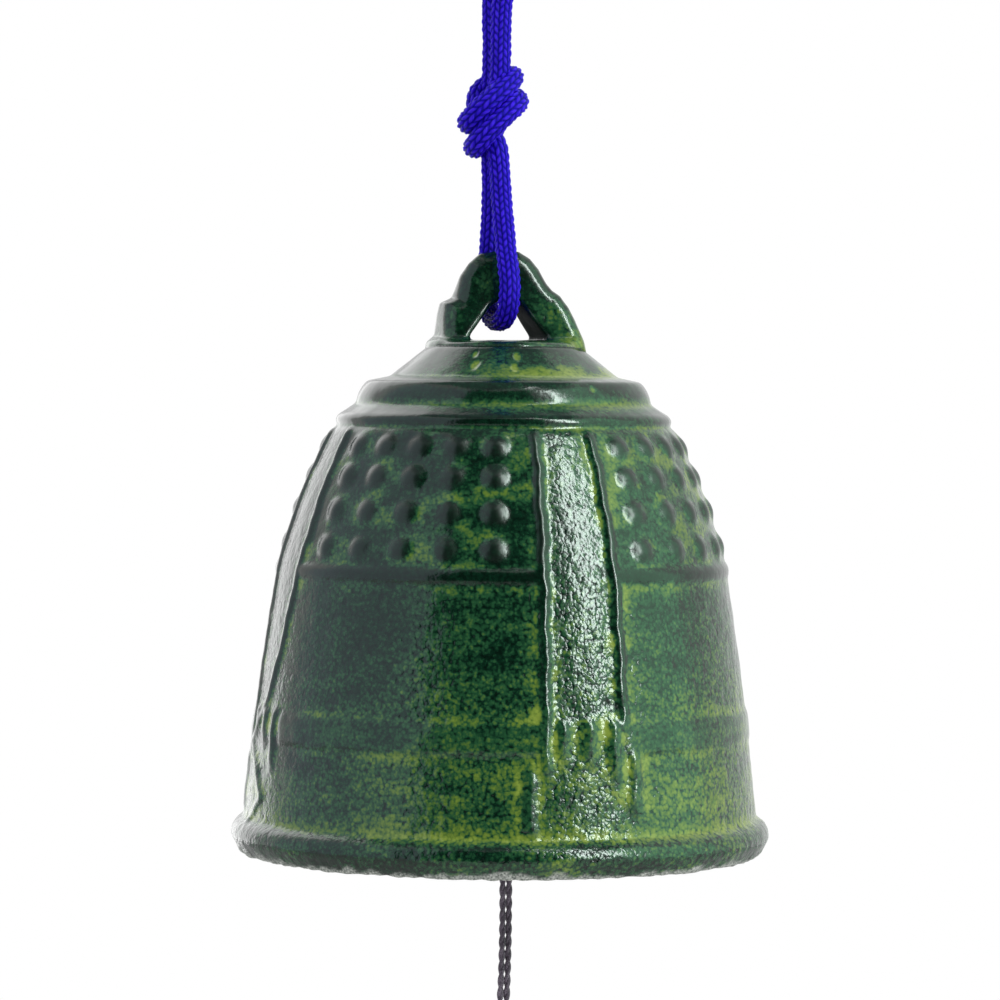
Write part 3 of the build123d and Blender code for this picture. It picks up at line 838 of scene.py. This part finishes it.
def surface_net(field, origin, cell):
    """Points and quads of the surface where a field on a grid is zero."""
    shape = np.array(field.shape) - 1
    total, count = np.zeros((*shape, 3)), np.zeros(shape)
    for axis in range(3):
        for beside, behind in ((0, 0), (0, 1), (1, 0), (1, 1)):
            low, high = (cell_corners(field, np.roll([end, beside, behind], axis)) for end in (0, 1))
            crossed = (low < 0) != (high < 0)
            share = low / np.where(crossed, low - high, 1)
            count += crossed
            for step, value in enumerate((share, beside, behind)):
                total[..., (axis + step) % 3] += crossed * value
    active = count > 0
    index = np.full(shape, -1)
    index[active] = np.arange(active.sum())
    points = origin + cell * (np.argwhere(active) + total[active] / count[active][:, None])
    quads = []
    for axis in range(3):
        low = np.take(field, range(shape[axis]), axis) < 0
        high = np.take(field, range(1, shape[axis] + 1), axis) < 0
        where = np.argwhere(low != high)
        backs = [np.roll([0, *back], axis) for back in ((1, 1), (0, 1), (0, 0), (1, 0))]
        ring = np.stack([index[tuple((where - back).T)] for back in backs], 1)
        flip = ~low[tuple(where.T)]
        ring[flip] = ring[flip][:, ::-1]
        quads.append(ring)
    return points, np.vstack(quads)


def lug_half(z):
    """Half of the lug's thickness at a height."""
    foot, head = LUG_THICKNESS
    return 0.5 * (foot + (head - foot) * np.clip(z / LUG_HEIGHT, 0, 1))


def crown_field():
    """Distance to the ledge and the pierced lug over a grid, uneven as a casting is."""
    axes = [np.arange(low, high, LUG_CELL) for low, high in zip(CROWN_LOWS, CROWN_HIGHS)]
    x, y, z = np.meshgrid(*axes, indexing="ij")
    outline = polygon_distance(x[:, 0], z[:, 0], LUG_OUTLINE)[:, None]
    eye = polygon_distance(x[:, 0], z[:, 0], EYE)[:, None]
    lug = soft_max(outline, np.abs(y + LUG_SKEW * x) - lug_half(z), LUG_ROUNDING)
    lug = soft_max(lug, -eye, EYE_ROUNDING)
    level = np.abs(z + LEDGE_DEPTH / 2) - LEDGE_DEPTH / 2
    ledge = soft_max(np.hypot(x, y) - LEDGE_RADIUS, level, LEDGE_ROUNDING)
    field = -soft_max(-lug, -ledge, FOOT_ROUNDING)
    near = np.abs(field) < UNEVEN_DEPTH
    places = np.stack([x[near], y[near], z[near]], 1)
    field[near] += 0.09 * grain_noise(places, 3.4, 4) + 0.015 * grain_noise(places, 1.3, 5)
    return field


def bell_crown():
    """The ledge and the lug as a mesh object, with the values that the bell's material reads."""
    points, quads = surface_net(crown_field(), CROWN_LOWS, LUG_CELL)
    thing = make_object("bell_crown", points + LEDGE_Z * UP, [quads])
    x, y, z = points.T
    foot = np.exp(-np.clip(z, 0, None) / 2.2)
    spots = grain_noise(points, 4.0, 6) + 0.6 * grain_noise(points, 1.6, 8)
    depth = lug_half(z) - np.abs(y + LUG_SKEW * x)
    in_eye = np.exp(-((polygon_distance(x, z, EYE) / 0.45) ** 2)) * (z > 0.35)
    # Inside the eye the finish is rougher, and its lacquer is painted darker there: painted shade in the
    # hole.
    dull = in_eye * step_up(depth, 0.55, 0.25)
    right_foot = np.clip((x - 4) / 3, 0, 1) * foot
    patina = 0.2 + 0.1 * foot + 0.2 * spots + 0.55 * right_foot - 0.4 * dull
    grain = 0.05 + 0.3 * np.clip(spots, 0, 1)
    set_values(thing, patina=patina, grain=grain, bare=0.0, dull=dull)
    return thing


bell = bell_body()
crown = bell_crown()
union = bell.modifiers.new("crown", "BOOLEAN")
union.operation = "UNION"
union.solver = "MANIFOLD"
union.object = crown
joined = bpy.data.meshes.new_from_object(bell.evaluated_get(bpy.context.evaluated_depsgraph_get()))
bell.modifiers.clear()
bell.data = joined
bpy.data.objects.remove(crown)
paint(bell, iron_material())
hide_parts("bell")
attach(bell, "bell")

# Strings: doubled twisted thread, with its knots and loops
STRAND_SPACING = 0.88
STRAND_STEP = 0.16
WANDER = 0.05
WANDER_LENGTH = 4.7
PLY_RADIUS = 0.29
PLY_ORBIT = 0.17
PLY_LAY = 3.4
PLY_AROUND = 10
KNOT_POINTS = 160
KNOT_DEPTH = 1.7
RING_POINTS = 120
GATHER_Z = -71.571
BIGHT_RADIUS = 1.53
BIGHT_Z = -69.416
STOP_Z = -114.452
TIE_Z = -154.016
STRIP_LOOP_Z = -159.046
STRIP_LOOP_RADIUS = 2.9
# Each knot's tight turns of thread: radius, thickness and turn
GATHER_KNOT = ((1.4, 0.8, 0.4),)
STOP_KNOT = ((2.0, 1.0, 0.0), (1.7, 0.8, 1.0))
TIE_KNOT = ((1.6, 0.85, 0.0), (1.4, 0.7, 1.0))
CLAPPER_STRING = [(0, 0, GATHER_Z), (0, 0, 0.5 * (GATHER_Z + STOP_Z)), (0, 0, STOP_Z)]
WIND_STRING = [(0, 0, STOP_Z - 0.6), (1.3, 1.15, -120), (1.35, 1.2, -148), (0, 0, TIE_Z)]


def ply_lines(points, closed, thickness):
    """The middles of a thread's two plies, twisted round each other along a line."""
    sides, ups = frames(points, closed)
    steps = np.linalg.norm(np.diff(points, axis=0, append=points[:1]), axis=1)
    length = steps.sum() if closed else steps[:-1].sum()
    turns = length / (PLY_LAY * thickness)
    if closed:
        turns = round(turns)
    at = np.concatenate([[0], np.cumsum(steps)[:-1]]) / length
    angle = 2 * math.pi * turns * at[:, None]
    orbit = PLY_ORBIT * thickness * (sides * np.cos(angle) + ups * np.sin(angle))
    return points + orbit, points - orbit


def thread_object(name, strands):
    """One object from several two-ply threads, each (points, closed, thickness)."""
    verts, sides, ends, start = [], [], [], 0
    for points, closed, thickness in strands:
        for line in ply_lines(points, closed, thickness):
            made = tube_points(line, *frames(line, closed), PLY_RADIUS * thickness, PLY_AROUND, closed)
            quads, fans = tube_faces(len(line), PLY_AROUND, closed, start)
            verts.append(made)
            sides.append(quads)
            ends += fans
            start += len(made)
    return make_object(name, np.vstack(verts), sides + ends)


def doubled(route):
    """Two strands beside a route, the line between them and its length."""
    points, at = spaced(nurbs_line(route), STRAND_STEP)
    wander = WANDER * np.sin(at / WANDER_LENGTH)[:, None] * np.array([0, 1, 0])
    apart = np.array([STRAND_SPACING / 2, 0, 0])
    return [(points - apart + wander, False, 1.0), (points + apart - wander, False, 1.0)], points, at[-1]


def thread_knot(middle, knot):
    """A knot's tight trefoils of thread, each of which fills a ball."""
    strands = []
    t = np.linspace(0, 2 * math.pi, KNOT_POINTS, endpoint=False)
    for radius, thickness, turn in knot:
        scale = (radius - PLY_ORBIT - PLY_RADIUS) / 3
        wide = (np.sin(t) + 2 * np.sin(2 * t)) * scale
        high = (np.cos(t) - 2 * np.cos(2 * t)) * scale
        x = wide * math.cos(turn) - high * math.sin(turn)
        y = -np.sin(3 * t) * scale * KNOT_DEPTH
        z = wide * math.sin(turn) + high * math.cos(turn)
        strands.append((np.stack([x, y, z + middle], 1), True, thickness))
    return strands


def ring_strand(middle, radius):
    """A loop of thread in the YZ plane."""
    t = np.linspace(0, 2 * math.pi, RING_POINTS, endpoint=False)
    return np.stack([0 * t, radius * np.cos(t), middle + radius * np.sin(t)], 1), True, 1.0


def thread_material():
    """Purple-grey twisted fibre."""
    made, tree, shader = new_material("string_twist")
    fibre = object_noise(tree, 5200.0, Detail=3.0, Roughness=0.65)
    broad = object_noise(tree, 420.0, Detail=1.0)
    shade = times_plus(tree, broad, 0.5, fibre)
    tint = ramp(tree, shade, [(0.45, (52, 43, 56)), (0.75, (98, 86, 102)), (1.0, (146, 134, 150))])
    join(tree, shader, {
        "Base Color": tint, "Roughness": 0.7, "Normal": bump(tree, fibre, 0.6, 0.05 * MM),
        "Sheen Weight": 0.3, "Sheen Roughness": 0.5,
    })
    return made


def dress_thread(thing, node, body):
    """Finish a piece of thread, which stands for a node and rides a body."""
    paint(thing, thread_finish)
    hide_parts(node)
    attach(thing, body)


thread_finish = thread_material()
bight_strands = [ring_strand(BIGHT_Z, BIGHT_RADIUS), *thread_knot(GATHER_Z, GATHER_KNOT)]
dress_thread(thread_object("string_bight_thread", bight_strands), "string_bight", "string_bight")
for name, route, node, body in (
    ("clapper_thread", CLAPPER_STRING, "clapper_string", "clapper"),
    ("wind_thread", WIND_STRING, "wind_string", "wind_string"),
):
    strands, centres, length = doubled(route)
    thread = thread_object(name, strands)
    dress_thread(thread, node, body)
for name, strands, node, body in (
    ("clapper_stop_thread", thread_knot(STOP_Z, STOP_KNOT), "clapper_stop_knot", "clapper"),
    ("strip_tie_thread", thread_knot(TIE_Z, TIE_KNOT), "strip_tie_knot", "wind_string"),
    ("strip_loop_thread", [ring_strand(STRIP_LOOP_Z, STRIP_LOOP_RADIUS)], "strip_loop", "strip_loop"),
):
    dress_thread(thread_object(name, strands), node, body)

# Paper strip: a thin sheet with a curl, round its punched hole
STRIP_WIDTH = 36.0
STRIP_LENGTH = 118.0
STRIP_TOP = -158.666
STRIP_FOOT = STRIP_TOP - STRIP_LENGTH
STRIP_CORNER = 1.5
CORNER_STEPS = (0, 0.15, 0.45, 0.9, STRIP_CORNER)
STRIP_PAPER = 0.3
STRIP_CELL = 1.0
HOLE_Z = -162.866
HOLE_RADIUS = 1.4
HOLE_PATCH = 3.0
HOLE_RINGS = (0.5, 0.85, 1.0)
# Two layers of fibres: their stretch, slant, scale and distortion
PAPER_FIBRES = (((1.0, 1.0, 0.18), 0.5, 900.0, 0.6), ((0.2, 1.0, 1.0), 0.35, 700.0, 0.8))


def strip_place(x, z):
    """Where a point of the flat strip lies: straight at the hole, with a little curl below it."""
    below = np.clip((HOLE_Z - z) / STRIP_LENGTH, 0, 1)
    cupped = 0.0016 * x**2 * below
    bent = 1.6 * below**2 * np.sin(4.2 * below)
    rippled = 0.25 * below * np.sin(0.21 * x + 0.05 * z)
    return np.stack([x, cupped + bent + rippled, z], -1)


def strip_grid():
    """Flat points of the strip in rows down it, with its corners rounded, and the rows' heights."""
    ends = np.array(CORNER_STEPS)
    inset = STRIP_CORNER - np.sqrt(np.clip(STRIP_CORNER**2 - (STRIP_CORNER - ends) ** 2, 0, None))
    between = np.arange(HOLE_Z + HOLE_PATCH, STRIP_FOOT + STRIP_CORNER, -STRIP_CELL)
    rise = np.concatenate([STRIP_TOP - ends, between, STRIP_FOOT + ends])
    rise = np.unique(np.round(rise, 4))[::-1]
    half = STRIP_WIDTH / 2
    x = np.arange(-half, half + STRIP_CELL, STRIP_CELL)
    narrowed = half - np.interp(np.minimum(STRIP_TOP - rise, rise - STRIP_FOOT), ends, inset)
    return np.stack(np.broadcast_arrays(x / half * narrowed[:, None], rise[:, None]), -1), rise


def strip_object():
    """The paper strip as a grid of quads, with rings of quads round its hole."""
    grid, rise = strip_grid()
    rows, columns = grid.shape[:2]
    number_at = np.arange(rows * columns).reshape(rows, columns)
    top, bottom = (int(np.argmin(np.abs(rise - HOLE_Z - side * HOLE_PATCH))) for side in (1, -1))
    left, right = (columns // 2 + side * int(HOLE_PATCH / STRIP_CELL) for side in (-1, 1))
    quads = np.stack([number_at[:-1, :-1], number_at[1:, :-1], number_at[1:, 1:], number_at[:-1, 1:]], -1)
    whole = np.ones((rows - 1, columns - 1), bool)
    whole[top:bottom, left:right] = False
    quads = [quads[whole]]
    border = np.concatenate([
        number_at[top:bottom, left], number_at[bottom, left:right],
        number_at[bottom:top:-1, right], number_at[top, right:left:-1],
    ])
    flat = grid.reshape(-1, 2)
    middle = np.array([0, HOLE_Z])
    outer = flat[border] - middle
    round_hole = outer / np.linalg.norm(outer, axis=1)[:, None] * HOLE_RADIUS
    previous = border
    for share in HOLE_RINGS:
        here = np.arange(len(border)) + len(flat)
        flat = np.vstack([flat, outer * (1 - share) + round_hole * share + middle])
        quads.append(np.stack([previous, np.roll(previous, -1), np.roll(here, -1), here], 1))
        previous = here
    used, quads = np.unique(np.vstack(quads), return_inverse=True)
    thing = make_object("paper_strip", strip_place(*flat[used].T), [quads.reshape(-1, 4)])
    solid = thing.modifiers.new("paper", "SOLIDIFY")
    solid.thickness = STRIP_PAPER * MM
    solid.offset = 0
    return thing


def paper_material():
    """Pale paper with long fibres that cross each other."""
    made, tree, shader = new_material("strip_paper")
    place = add(tree, "TexCoord").outputs["Object"]
    layers = []
    for stretch, slant, scale, distortion in PAPER_FIBRES:
        way = add(tree, "Mapping", {"Vector": place, "Scale": stretch, "Rotation": (0, slant, 0)}).outputs[0]
        layers.append(object_noise(tree, scale, Vector=way, Detail=4.0, Distortion=distortion))
    fibres = number(tree, "MAXIMUM", *layers)
    cloud = object_noise(tree, 60.0, Detail=2.0)
    shade = times_plus(tree, cloud, 0.3, fibres)
    tint = ramp(tree, shade, [(0.55, (234, 228, 213)), (0.72, (242, 237, 225)), (0.9, (249, 246, 238))])
    normal = bump(tree, fibres, 0.25, 0.08 * MM)
    join(tree, shader, {"Base Color": tint, "Roughness": 0.85, "Normal": normal})
    return made


strip = strip_object()
paint(strip, paper_material())
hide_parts("wind_strip")
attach(strip, "wind_strip")


# Clapper and staple: the frame's own solids with their finishes
def cast_material():
    """Dark cast iron with a little rust."""
    made, tree, shader = new_material("clapper_iron")
    pebble = object_noise(tree, 900.0, Detail=4.0)
    rust = object_noise(tree, 170.0, Detail=5.0)
    tint = ramp(tree, rust, [(0.4, (38, 40, 39)), (0.6, (66, 62, 56)), (0.75, (98, 72, 52))])
    normal = bump(tree, pebble, 0.5, 0.15 * MM)
    join(tree, shader, {"Base Color": tint, "Metallic": 0.3, "Roughness": 0.55, "Normal": normal})
    return made


def steel_material():
    """Drawn steel wire, grey and a little uneven."""
    made, tree, shader = new_material("staple_steel")
    drawn = object_noise(tree, 1500.0, Detail=3.0)
    tint = ramp(tree, drawn, [(0.35, (92, 92, 90)), (0.7, (160, 160, 156))])
    normal = bump(tree, drawn, 0.3, 0.05 * MM)
    join(tree, shader, {"Base Color": tint, "Metallic": 0.9, "Roughness": 0.38, "Normal": normal})
    return made


for node, made, slot_name in (
    ("clapper", cast_material(), "clapper_iron"), ("clapper_eye", steel_material(), "staple_steel"),
):
    paint(frame["nodes"][node], made)

# World, lights and stage. Turns are degrees to the camera's right, seen from the object
SKY_STRENGTH = 0.55
AIM = np.array([0, 0, -0.09])
WALL_POINTS = 24
SCREEN_RADIUS = 0.8
SCREEN_HEIGHTS = (-0.7, 1.1)
FLOOR_Z = -0.288
FLOOR_HALF = 0.7
FLOOR_GLOW = 0.7
CEILING_Z = 1.12
CEILING_HALF = 0.6
SQUARE = np.array([(-1, -1), (1, -1), (1, 1), (-1, 1)])


def studio_world():
    """Soft light all round, which the camera, reflections and glass see as white."""
    world = bpy.data.worlds.new("studio")
    tree = empty_tree(world)
    rays = add(tree, "LightPath").outputs
    seen = number(tree, "MAXIMUM", rays["Is Camera Ray"], rays["Is Glossy Ray"])
    seen = number(tree, "MAXIMUM", seen, rays["Is Transmission Ray"])
    soft = add(tree, "Background", {"Strength": SKY_STRENGTH})
    white = add(tree, "Background", {"Color": (1, 1, 1, 1)})
    either = add(tree, "MixShader", {0: seen, 1: soft.outputs[0], 2: white.outputs[0]})
    add(tree, "OutputWorld", {"Surface": either.outputs[0]})
    return world


def level_way(turn):
    """The level direction at a turn in radians."""
    return -AWAY * np.cos(turn) + RIGHT * np.sin(turn)


def area_light(name, turn, rise, distance, size, radiance):
    """A soft rectangular light that faces the object and doesn't show in its reflections."""
    data = bpy.data.lights.new(name, "AREA")
    data.shape = "RECTANGLE"
    data.size, data.size_y = size
    data.energy = radiance * math.pi * size[0] * size[1]
    lamp = bpy.data.objects.new(name, data)
    scene.collection.objects.link(lamp)
    rise = math.radians(rise)
    way = level_way(math.radians(turn)) * math.cos(rise) + UP * math.sin(rise)
    lamp.location = AIM + way * distance
    lamp.rotation_euler = Vector(way).to_track_quat("Z", "Y").to_euler()
    lamp.visible_camera = lamp.visible_glossy = False


def make_reflection(thing, glow, tint):
    """A thing of the stage that glows, and that only reflections see."""
    thing.visible_camera = thing.visible_diffuse = False
    thing.visible_shadow = thing.visible_transmission = False
    made = bpy.data.materials.new(thing.name)
    tree = empty_tree(made)
    shader = add(tree, "Emission", {"Color": (*tint, 1), "Strength": glow})
    add(tree, "OutputMaterial", {"Surface": shader.outputs[0]})
    paint(thing, made)


def reflection_wall(name, turns, glow, tint=(1, 1, 1), heights=SCREEN_HEIGHTS, radius=SCREEN_RADIUS):
    """A curved wall round the object that only its reflections see."""
    level = level_way(np.radians(np.linspace(*turns, WALL_POINTS))[:, None]) * radius
    verts = np.vstack([level + height * UP for height in heights]) / MM
    first = np.arange(WALL_POINTS - 1)
    quads = np.stack([first, first + 1, first + 1 + WALL_POINTS, first + WALL_POINTS], 1)
    make_reflection(make_object(name, verts, [quads]), glow, tint)


def level_square(name, half, height):
    corners = np.column_stack([SQUARE * half, np.full(len(SQUARE), height)])
    return make_object(name, corners / MM, [[(0, 1, 2, 3)]])


def floor_material():
    """A pale floor that looks nearly white and keeps the object's shadow."""
    made = bpy.data.materials.new("floor_white")
    tree = empty_tree(made)
    lit = add(tree, "BsdfDiffuse", {"Color": (0.92, 0.92, 0.92, 1)})
    glow = add(tree, "Emission", {"Color": (1, 1, 1, 1), "Strength": 1.0})
    seen = add(tree, "LightPath").outputs["Is Camera Ray"]
    share = number(tree, "MULTIPLY", seen, FLOOR_GLOW)
    blended = add(tree, "MixShader", {0: share, 1: lit.outputs[0], 2: glow.outputs[0]})
    add(tree, "OutputMaterial", {"Surface": blended.outputs[0]})
    return made


scene.view_settings.view_transform = "Standard"
scene.world = studio_world()
floor = level_square("floor", FLOOR_HALF, FLOOR_Z)
paint(floor, floor_material())
reflection_wall("dark_wall", (-34, 30), 0.03, (0.7, 1, 0.85))
reflection_wall("left_softbox", (-112, -34), 1.0, (0.78, 0.9, 1.0))
reflection_wall("strip_box", (41, 51), 23.0, (0.88, 1, 0.95), heights=(0.0, 0.9), radius=0.75)
reflection_wall("top_strip", (30, 44), 9.0, heights=(0.66, 0.9), radius=0.4)
reflection_wall("right_wall", (51, 100), 2.1, (0.62, 1, 0.74))
reflection_wall("left_rim", (-165, -128), 2.2)
reflection_wall("right_rim", (125, 165), 1.0)
make_reflection(level_square("ceiling", CEILING_HALF, CEILING_Z), 0.3, (0.8, 0.92, 1.0))
area_light("key", 62, 35, 0.8, (0.5, 0.5), 4.5)
area_light("fill", -60, 30, 0.8, (0.6, 0.6), 0.8)
